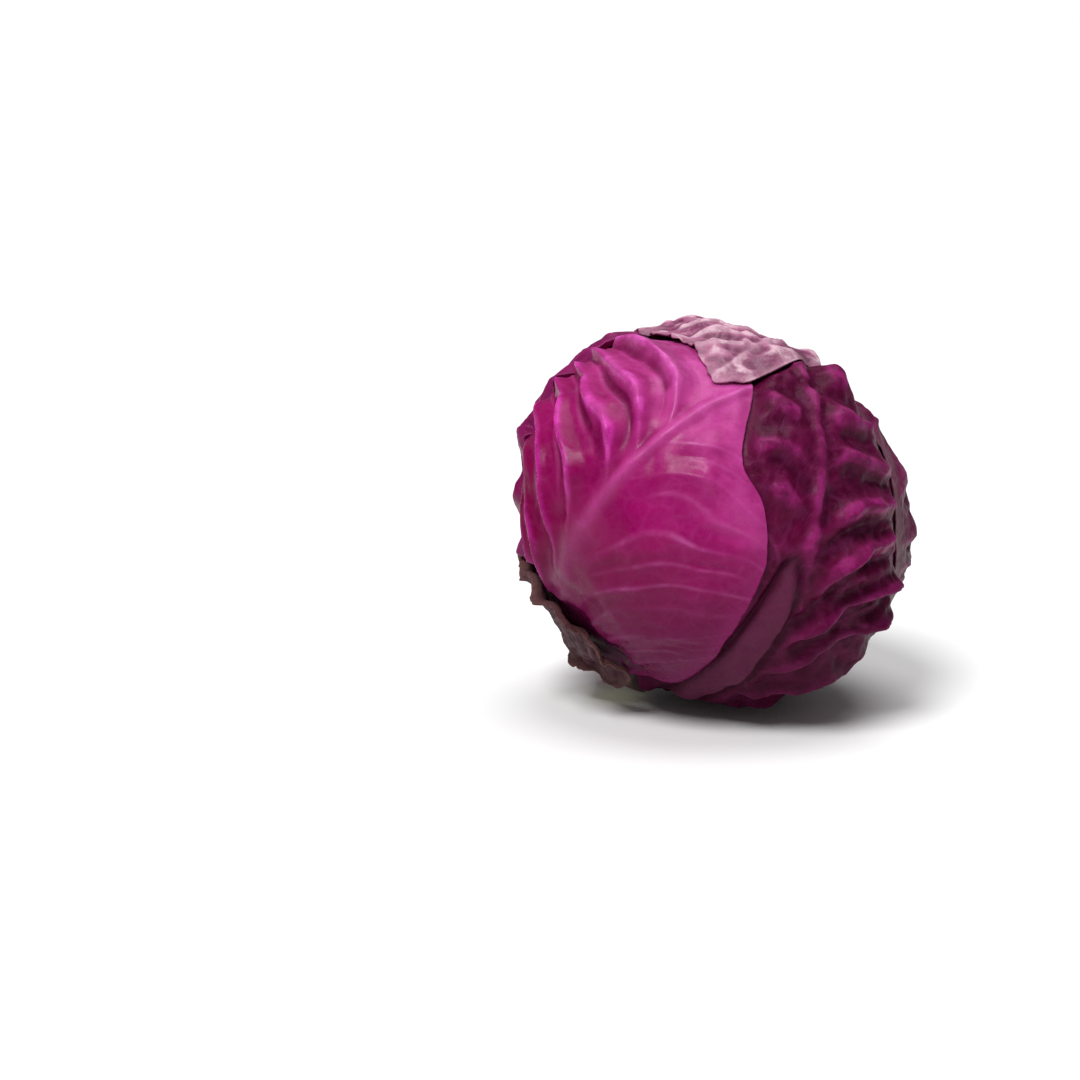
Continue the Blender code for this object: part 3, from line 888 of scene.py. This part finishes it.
def make_leaf_skin():
    inputs = [(label, "NodeSocketColor", GREY) for label in COLOURS]
    values = [label + " strength" for label in STRENGTHS] + ["Mottle", "Roughness", "Crinkle"]
    inputs += [(label, "NodeSocketFloat", 0.5) for label in values]
    outputs = [("Color", "NodeSocketColor"), ("Roughness", "NodeSocketFloat"),
               ("Normal", "NodeSocketVector")]
    tree, given, result = group_of("Leaf skin", inputs, outputs)
    want = given.outputs
    clouds = ramp(tree, grain(tree, CLOUD_SCALE), 0.35, 0.65)
    patches = ramp(tree, grain(tree, PATCH_SCALE, 4), 0.38, 0.66)
    stand, along, low, keel = (mask(tree, name) for name in ("stand", "along", "low", "keel"))

    # Broad colours: painted light towards the tip, painted shade towards the base and on the
    # underside
    # The paler tip is painted light.
    tip = times(tree, ramp(tree, along, 0.45, 0.85), want["Tip strength"])
    tip = times(tree, tip, ramp(tree, clouds, 0, 1, 1, 0.5))
    colour = mix(tree, tip, want["Blade"], want["Tip"])
    # Darker near the base: painted shade, with a deeper hue.
    shaded_base = ramp(tree, along, 0.58, 0.26)
    base = times(tree, shaded_base, want["Base strength"])
    colour = mix(tree, base, colour, want["Base"])
    # The darker, duller underside: painted shade, with a duller hue.
    colour = mix(tree, low, colour, want["Low"])

    # Painted shade in the hollows, bloom and painted highlight on the crests
    # Darker hollows: painted shade.
    hollow = ramp(tree, stand, 0.5, 0.08, 0, 0.85)
    hollow = times(tree, hollow, ramp(tree, along, 0.5, 0.85, 1, 0.6))
    colour = mix(tree, hollow, colour, want["Deep"])
    colour = mix(tree, times(tree, clouds, want["Mottle"]), colour, want["Deep"])
    # Paler crests: waxy bloom with a painted highlight.
    bloom_and_highlight = times(tree, ramp(tree, stand, 0.5, 0.95), ramp(tree, patches, 0, 1, 0.35))
    bloom_and_highlight = times(tree, bloom_and_highlight, ramp(tree, shaded_base, 0, 1, 1, 0.42))
    bloom_and_highlight = times(tree, bloom_and_highlight, ramp(tree, low, 0, 1, 1, 0.4))
    colour = mix(tree, bloom_and_highlight, colour, mix(tree, tip, want["Crest"], want["Vein"]))

    # Veins, rib, fold, painted shade in the groove, and margin
    lines = times(tree, mask(tree, "vein"), want["Vein strength"])
    lines = times(tree, lines, ramp(tree, patches, 0, 1, 0.55))
    lines = times(tree, lines, ramp(tree, along, 0.25, 0.6, 0.4))
    colour = mix(tree, lines, colour, want["Vein"])
    rib = times(tree, mask(tree, "rib"), want["Rib strength"])
    rib = times(tree, rib, ramp(tree, along, 0.25, 0.6, 0.3))
    colour = mix(tree, rib, colour, want["Vein"])
    colour = mix(tree, times(tree, keel, ramp(tree, patches, 0, 1, 1, 0.7)), colour, want["Keel"])
    # The darker groove round the fold: painted shade.
    colour = mix(tree, times(tree, mask(tree, "groove"), 0.85), colour, want["Deep"])
    margin = times(tree, mask(tree, "edge"), want["Margin strength"])
    margin = times(tree, margin, ramp(tree, clouds, 0, 1, 0.5))
    colour = mix(tree, margin, colour, want["Margin"])
    speck = ramp(tree, grain(tree, SPECK_SCALE, 2), 0.56, 0.7, 0.0, 0.16)
    colour = mix(tree, speck, colour, want["Deep"])

    # Shine and bump
    wax = ramp(tree, grain(tree, WAX_SCALE), 0.3, 0.7, -0.07, 0.1)
    rough = calc(tree, "ADD", want["Roughness"], wax)
    rough = calc(tree, "ADD", rough, times(tree, keel, 0.2))
    folded = calc(tree, "SUBTRACT", grain(tree, FOLDED_SCALE, 3), 0.5)
    folded = calc(tree, "ABSOLUTE", folded, 0)
    normal = bump(tree, folded, want["Crinkle"], FOLDED_DEPTH)
    normal = bump(tree, grain(tree, PORE_SCALE, 4), PORE_STRENGTH, PORE_DEPTH, normal)
    normal = bump(tree, grain(tree, DUST_SCALE, 2), DUST_STRENGTH, DUST_DEPTH, normal)
    tree.links.new(colour, result.inputs["Color"])
    tree.links.new(rough, result.inputs["Roughness"])
    tree.links.new(normal, result.inputs["Normal"])
    return tree


LEAF_SKIN = make_leaf_skin()
print("leaf skin group has", len(LEAF_SKIN.nodes), "nodes")

# %% [markdown]
# ## One material for each leaf
# The front leaf is bright magenta and glossy, the right one dark and crinkled, the top one pale
# and dull with bloom, and the outermost has dried brown. Numbers that are the same all over a
# leaf, such as its coat of wax, are set on the shader itself. The strengths are those of the vein,
# rib, margin, base and tip colours.

# %% Leaf materials
# Deep is the painted shade of hollows and grooves and also the colour of mottles and specks; Low is
# painted shade on the underside; Tip is painted light; Crest is bloom with painted highlight; Base
# is painted shade with a deeper hue.
SKINS = {
    "leaf_front": {
        "Blade": (0.29, 0.0003, 0.104), "Deep": (0.115, 0.0004, 0.034),
        "Crest": (0.52, 0.015, 0.31), "Vein": (0.68, 0.18, 0.49), "Margin": (0.3, 0.015, 0.15),
        "Low": (0.115, 0.004, 0.05), "Base": (0.12, 0.0003, 0.024), "Mottle": 0.3,
        "Roughness": 0.3, "Tip": (0.6, 0.09, 0.38), "Crinkle": 0.06, "coat": 0.04, "shine": 0.085,
        "strengths": (0.42, 0.2, 0.3, 0.9, 0.9),
    },
    "leaf_right": {
        "Blade": (0.09, 0.0005, 0.026), "Deep": (0.032, 0.0003, 0.01),
        "Crest": (0.22, 0.008, 0.1), "Vein": (0.26, 0.035, 0.15), "Margin": (0.1, 0.008, 0.045),
        "Low": (0.06, 0.003, 0.022), "Keel": (0.092, 0.016, 0.045), "Base": (0.06, 0.002, 0.022),
        "Mottle": 0.5, "Roughness": 0.42, "Tip": (0.1, 0.004, 0.04), "Crinkle": 0.35,
        "coat": 0.03, "shine": 0.055, "strengths": (0.55, 0.1, 0.4, 0.4, 0.3),
    },
    "leaf_back": {
        "Blade": (0.115, 0.0012, 0.044), "Deep": (0.028, 0.001, 0.01),
        "Crest": (0.22, 0.02, 0.11), "Vein": (0.24, 0.07, 0.14), "Margin": (0.14, 0.065, 0.08),
        "Low": (0.05, 0.006, 0.022), "Base": (0.08, 0.01, 0.03), "Mottle": 0.4, "Roughness": 0.47,
        "Tip": (0.1, 0.01, 0.045), "Crinkle": 0.4, "coat": 0.02, "shine": 0.12,
        "strengths": (0.5, 0.4, 0.65, 0.4, 0.3),
    },
    "leaf_left": {
        "Blade": (0.2, 0.0012, 0.082), "Deep": (0.06, 0.0008, 0.021),
        "Crest": (0.34, 0.015, 0.18), "Vein": (0.32, 0.05, 0.19), "Margin": (0.24, 0.012, 0.11),
        "Low": (0.06, 0.005, 0.026), "Base": (0.1, 0.002, 0.03), "Mottle": 0.4, "Roughness": 0.4,
        "Tip": (0.22, 0.02, 0.1), "Crinkle": 0.25, "coat": 0.06, "shine": 0.15,
        "strengths": (0.5, 0.4, 0.5, 0.5, 0.4),
    },
    "leaf_top": {
        "Blade": (0.31, 0.055, 0.16), "Deep": (0.06, 0.003, 0.028), "Crest": (0.7, 0.47, 0.55),
        "Vein": (0.58, 0.34, 0.44), "Margin": (0.46, 0.22, 0.31), "Low": (0.17, 0.04, 0.085),
        "Base": (0.16, 0.014, 0.078), "Mottle": 0.5, "Roughness": 0.52, "Tip": (0.5, 0.2, 0.33),
        "Crinkle": 0.6, "coat": 0.0, "shine": 0.2, "strengths": (0.6, 0.4, 0.4, 0.9, 0.5),
    },
    "leaf_outer": {
        "Blade": (0.075, 0.018, 0.03), "Deep": (0.022, 0.005, 0.009), "Crest": (0.15, 0.06, 0.08),
        "Vein": (0.19, 0.1, 0.11), "Margin": (0.12, 0.055, 0.05), "Low": (0.06, 0.016, 0.024),
        "Base": (0.07, 0.03, 0.03), "Mottle": 0.6, "Roughness": 0.6, "Tip": (0.1, 0.04, 0.045),
        "Crinkle": 0.6, "coat": 0.0, "shine": 0.12, "strengths": (0.5, 0.4, 0.8, 0.4, 0.4),
    },
}
COAT_ROUGHNESS = 0.22
GLOW = 0.06
GLOW_COLOUR = (1.0, 0.25, 0.5)
GLOW_DEPTH = 4.0 * MM


def new_material(name):
    material = bpy.data.materials.new(name)
    material.use_nodes = True
    return material, material.node_tree, material.node_tree.nodes["Principled BSDF"]


def paint_leaf(thing, look):
    material, tree, shader = new_material(thing.name.replace("skin", "waxy"))
    skin = tree.nodes.new("ShaderNodeGroup")
    skin.node_tree = LEAF_SKIN
    for label, value in look.items():
        if label in skin.inputs:
            plug(tree, skin.inputs[label], value)
    for label, strength in zip(STRENGTHS, look["strengths"]):
        skin.inputs[label + " strength"].default_value = strength
    for given, taken in (("Color", "Base Color"), ("Roughness", "Roughness"), ("Normal", "Normal")):
        tree.links.new(skin.outputs[given], shader.inputs[taken])
    set_inputs(shader, {
        "Coat Weight": look["coat"], "Coat Roughness": COAT_ROUGHNESS,
        "Specular IOR Level": look["shine"], "Subsurface Weight": GLOW,
        "Subsurface Radius": GLOW_COLOUR, "Subsurface Scale": GLOW_DEPTH,
    })
    thing.data.materials.append(material)


print("looks for", ", ".join(SKINS))

# %% [markdown]
# ## The stalk
# The stump under the head is a woody rod, cut straight, whose core tapers up inside. It is a
# turned shape, so a profile is spun with the Screw modifier. Its cut end shows a ring of darker
# fibres round a pale pith, and its side has shallow scars where older leaves were.

# %% Stalk shape
STALK_END = 82.0 * MM
STALK_RADIUS = 16.5 * MM
STALK_TOP_RADIUS = 8.0 * MM
STALK_LENGTH = 70.0 * MM
STALK_TOP_ROUND = 4.0 * MM
STALK_BEVEL = 1.2 * MM
STALK_DISH = 0.8 * MM
STALK_GAP = 0.35 * MM
STALK_STEPS = 96
SOCKET_BELOW = 20 * MM
SCAR_DEPTH = 0.7 * MM
SCAR_DENSITY = 2.2
SCAR_LENGTH = 6
SCAR_SPREAD = 0.1
SCARS_OUTSIDE = (0.75, 0.95)
SCARS_BELOW = (-58 * MM, -66 * MM)
CUT_FADE = (1.6 * MM, 1.0 * MM)
TO_HEAD = Matrix.Translation(CENTRE) @ Matrix.Rotation(HEAD_LEAN, 4, "Y")


def stalk_profile():
    """Radius and height from the top of the core down to the middle of the cut end."""
    top = STALK_LENGTH - STALK_END
    shoulder = top - STALK_TOP_ROUND
    sides = np.linspace(0, 1, 14)[1:]
    taper = [(STALK_TOP_RADIUS + (STALK_RADIUS - STALK_TOP_RADIUS) * t,
              shoulder + (STALK_RADIUS - STALK_END - shoulder) * t) for t in sides]
    stump = [(STALK_RADIUS, STALK_RADIUS - STALK_END - (STALK_RADIUS - STALK_BEVEL) * t)
             for t in np.linspace(0, 1, 10)[1:]]
    bevel = [(STALK_RADIUS - STALK_BEVEL * (1 - cos(a)), -STALK_END + STALK_BEVEL * (1 - sin(a)))
             for a in np.linspace(0, pi / 2, 5)[1:]]
    wide = STALK_RADIUS - STALK_BEVEL
    face = [(wide * (1 - t), -STALK_END + STALK_DISH * (1 - (1 - t) ** 2))
            for t in np.linspace(0, 1, 16)[1:]]
    cap = [(0, top), (STALK_TOP_RADIUS * 0.7, top), (STALK_TOP_RADIUS, shoulder)]
    return cap + taper + stump + bevel + face


def make_stalk():
    points = [(float(radius), 0, float(height)) for radius, height in stalk_profile()]
    mesh = bpy.data.meshes.new("skin_stalk")
    mesh.from_pydata(points, [(i, i + 1) for i in range(len(points) - 1)], [])
    stalk = bpy.data.objects.new("skin_stalk", mesh)
    bpy.context.collection.objects.link(stalk)
    turn = stalk.modifiers.new("Turned", "SCREW")
    turn.steps = STALK_STEPS
    turn.render_steps = STALK_STEPS
    turn.use_merge_vertices = True
    turn.merge_threshold = 0.01 * MM
    turn.use_normal_calculate = True
    apply_modifiers(stalk)
    return stalk


def scar_stalk(thing):
    """Presses the leaf scars into the side and keeps the masks of the cut end and its rings."""
    places = vertex_array(thing.data)
    radius = np.hypot(places[:, 0], places[:, 1])
    turned = np.arctan2(places[:, 1], places[:, 0])
    spots = (np.cos(turned) * SCAR_DENSITY, np.sin(turned) * SCAR_DENSITY,
             places[:, 2] / MM / SCAR_LENGTH)
    scars = np.maximum(0, noise_at(np.stack(spots, 1)) + SCAR_SPREAD)
    on_side = smooth_step(*SCARS_OUTSIDE, radius / STALK_RADIUS)
    dent = SCAR_DEPTH * on_side * smooth_step(*SCARS_BELOW, places[:, 2]) * scars
    places[:, :2] *= (1 - dent / np.maximum(radius, MM))[:, None]
    set_vertices(thing.data, places)
    add_mask(thing.data, "cut", smooth_step(*CUT_FADE, places[:, 2] + STALK_END))
    add_mask(thing.data, "ring", radius / STALK_RADIUS)


stalk = make_stalk()
scar_stalk(stalk)
stalk.data.transform(TO_HEAD)
stalk.data.shade_smooth()
print("stalk faces", len(stalk.data.polygons))


# %% [markdown]
# ## The stalk's finish
# The mask of the cut end divides the pale face from the brown side, and the ring mask draws the
# pith, the ring of fibres and the dark rind on that face.

# %% Stalk material
PITH = ((0.42, 0.40, 0.24), (0.55, 0.50, 0.34))
FIBRE = ((0.20, 0.20, 0.10), (0.36, 0.33, 0.2))
RIND = (0.10, 0.045, 0.05)
SIDE = ((0.055, 0.03, 0.03), (0.11, 0.10, 0.06))


def paint_stalk(thing):
    material, tree, shader = new_material("woody_stalk")
    uneven = times(tree, calc(tree, "SUBTRACT", grain(tree, 180), 0.5), 0.16)
    ring = calc(tree, "ADD", mask(tree, "ring"), uneven)
    pith = mix(tree, ramp(tree, grain(tree, 700), 0.35, 0.65), *PITH)
    fibre = mix(tree, ramp(tree, grain(tree, 1400, 2), 0.4, 0.6), *FIBRE)
    side = mix(tree, ramp(tree, grain(tree, 120, 4), 0.35, 0.65), *SIDE)
    face = mix(tree, ramp(tree, ring, 0.62, 0.72), pith, fibre)
    face = mix(tree, ramp(tree, ring, 0.86, 0.95), face, RIND)
    colour = mix(tree, mask(tree, "cut"), side, face)
    tree.links.new(colour, shader.inputs["Base Color"])
    tree.links.new(ramp(tree, grain(tree, 500), 0.3, 0.7, 0.5, 0.75), shader.inputs["Roughness"])
    tree.links.new(bump(tree, grain(tree, 1100, 3), 0.5, 0.5 * MM), shader.inputs["Normal"])
    thing.data.materials.append(material)


paint_stalk(stalk)
print("stalk painted")

# %% [markdown]
# ## The heart
# Under the outer leaves lies the mass of packed inner ones. Little of it can be seen, so it is a
# ball, pressed to the head's form, with shallow folds. A cone is cut out of it for the stalk.

# %% Heart shape
HEART_FOLD = 0.35 * MM
HEART_SAFE = 0.5 * MM
HEART_DENSITY = 4
HEART_SMALL_DENSITY = 9
SOCKET_SIDES = 64


def make_socket():
    tall = STALK_LENGTH + SOCKET_BELOW
    slope = (STALK_RADIUS - STALK_TOP_RADIUS) / (STALK_LENGTH - STALK_RADIUS - STALK_TOP_ROUND)
    narrow = STALK_TOP_RADIUS + STALK_GAP
    deselect()
    bpy.ops.mesh.primitive_cone_add(vertices=SOCKET_SIDES, radius1=narrow + slope * tall,
                                    radius2=narrow, depth=tall)
    socket = bpy.context.active_object
    top = STALK_LENGTH - STALK_END + MM
    socket.data.transform(TO_HEAD @ Matrix.Translation((0, 0, top - tall / 2)))
    return socket


deselect()
bpy.ops.mesh.primitive_ico_sphere_add(subdivisions=6, radius=1)
heart = bpy.context.active_object
heart.name = "skin_heart"
rays = vertex_array(heart.data)
rays /= np.linalg.norm(rays, axis=1)[:, None]
sunk = LAYER_STEP * np.maximum(1, cover(rays, "heart")) + CORE_DROP
folds = np.minimum(0, noise_at(rays * HEART_DENSITY)) + 0.5 * noise_at(rays * HEART_SMALL_DENSITY)
sunk += HEART_SAFE - HEART_FOLD * folds
reach = np.minimum(head_surface(rays) - sunk, floor_limit(rays, sunk))
set_vertices(heart.data, CENTRE + rays * reach[:, None])
for label in ("vein", "rib", "keel", "edge", "groove"):
    add_mask(heart.data, label, np.zeros(len(rays)))
for label in ("stand", "along"):
    add_mask(heart.data, label, np.full(len(rays), 0.5))
# The low mask gives the heart the painted shade of the underside too.
add_mask(heart.data, "low", smooth_step(LOW_FROM, LOW_FULL, rays[:, 2]))
socket = make_socket()
hollow = heart.modifiers.new("Stalk hollow", "BOOLEAN")
hollow.operation = "DIFFERENCE"
hollow.object = socket
apply_modifiers(heart)
bpy.data.objects.remove(socket)
heart.data.shade_smooth()
paint_leaf(heart, SKINS["leaf_left"])
print("heart faces", len(heart.data.polygons))

# %% [markdown]
# ## The leaves, from the inside out
# Now the head is wrapped. Each leaf is laid on the tree of everything below it, painted, and
# added to the stack.

# %% Wrap the head
stack = [tree_of(heart)]
skins = {}
for name in LEAVES:
    leaf_piece = make_leaf(name, stack)
    paint_leaf(leaf_piece, SKINS[name])
    stack.append(tree_of(leaf_piece))
    skins[name] = leaf_piece
    spots = vertex_array(leaf_piece.data) / MM
    print(name, "faces", len(leaf_piece.data.polygons), "low", spots.min(0).round(1), "high",
          spots.max(0).round(1))

# %% [markdown]
# ## Ride the frame
# Nothing on a cabbage moves, so every piece rides on the one body. Each stands for its plain solid,
# which is hidden.

# %% Ride and replace
for name, leaf_piece in skins.items():
    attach(leaf_piece, "root")
    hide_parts(name)
for piece, node, slot in ((heart, "heart", "packed_leaf"), (stalk, "stalk", "cut_stalk")):
    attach(piece, "root")
    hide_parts(node)
print("pieces", len(skins) + 2)

# %% [markdown]
# ## Floor and light
# The head lies on a plain pale floor in a bright studio. The camera sees a white backdrop, while
# only a weak part of it fills the shadows. A soft sun high at the left gives the shine and the
# shading, and a softer one from above lights the top and the floor, which takes the soft shadow.

# %% Studio
FLOOR_SIZE = 60.0
FLOOR_COLOUR = (0.9, 0.9, 0.9, 1)
FLOOR_ROUGHNESS = 0.7
WHITE = (1, 1, 1, 1)
FILL = 0.16
# Name, direction towards the light, softness in degrees, strength
SUNS = (("high_left_light", (-0.37, -0.56, 1.0), 24, 2.7), ("top_light", (0.1, 0.15, 1.0), 40, 1.6))
deselect()
bpy.ops.mesh.primitive_plane_add(size=FLOOR_SIZE, location=(0, 0, 0))
floor = bpy.context.active_object
floor.name = "floor"
material, tree, shader = new_material("pale_floor")
set_inputs(shader, {"Base Color": FLOOR_COLOUR, "Roughness": FLOOR_ROUGHNESS})
floor.data.materials.append(material)

world = bpy.data.worlds.new("bright_studio")
bpy.context.scene.world = world
world.use_nodes = True
sky = world.node_tree
fill = sky.nodes["Background"]
set_inputs(fill, {"Color": WHITE, "Strength": FILL})
backdrop = sky.nodes.new("ShaderNodeBackground")
backdrop.inputs["Color"].default_value = WHITE
seen = sky.nodes.new("ShaderNodeLightPath")
choose = sky.nodes.new("ShaderNodeMixShader")
sky.links.new(seen.outputs["Is Camera Ray"], choose.inputs["Fac"])
sky.links.new(fill.outputs["Background"], choose.inputs[1])
sky.links.new(backdrop.outputs["Background"], choose.inputs[2])
sky.links.new(choose.outputs["Shader"], sky.nodes["World Output"].inputs["Surface"])


def add_sun(name, towards, softness, strength):
    lamp = bpy.data.lights.new(name, "SUN")
    lamp.angle = radians(softness)
    lamp.energy = strength
    thing = bpy.data.objects.new(name, lamp)
    bpy.context.collection.objects.link(thing)
    thing.rotation_euler = Vector(towards).to_track_quat("Z", "Y").to_euler()


for sun in SUNS:
    add_sun(*sun)
bpy.context.scene.view_settings.view_transform = "Standard"
print("lights", len(SUNS))

# %% [markdown]
# ## Camera
# The photograph was taken from a little above the floor with a long lens. The head keeps its
# place in the frame, right of the middle, so the camera aims at a point to its left.

# %% Camera
CAMERA_HEIGHT_ANGLE = radians(12)
CAMERA_DISTANCE = 1.075
LENS = 85
SENSOR_WIDTH = 36
MM_PER_PIXEL = 0.42 * MM
HEAD_PIXEL = (716, 510)
FRAME_MIDDLE = 540
back = Vector((0, -cos(CAMERA_HEIGHT_ANGLE), sin(CAMERA_HEIGHT_ANGLE)))
right = Vector((1, 0, 0))
up = back.cross(right)
aside = (HEAD_PIXEL[0] - FRAME_MIDDLE) * MM_PER_PIXEL
above = (FRAME_MIDDLE - HEAD_PIXEL[1]) * MM_PER_PIXEL
target = Vector(CENTRE) - right * aside - up * above
camera_data = bpy.data.cameras.new("camera")
camera_data.lens = LENS
camera_data.sensor_width = SENSOR_WIDTH
camera = bpy.data.objects.new("camera", camera_data)
bpy.context.collection.objects.link(camera)
camera.location = target + back * CAMERA_DISTANCE
camera.rotation_euler = (-back).to_track_quat("-Z", "Y").to_euler()
bpy.context.scene.camera = camera
print("camera at", [round(value, 3) for value in camera.location])

# %% [markdown]
# ## The box of the solids
# The dressed head must stay inside the box of the solids, so that box is printed.

# %% Finish
print("CAD box", [round(v * 1000, 2) for v in cad_low], [round(v * 1000, 2) for v in cad_high])
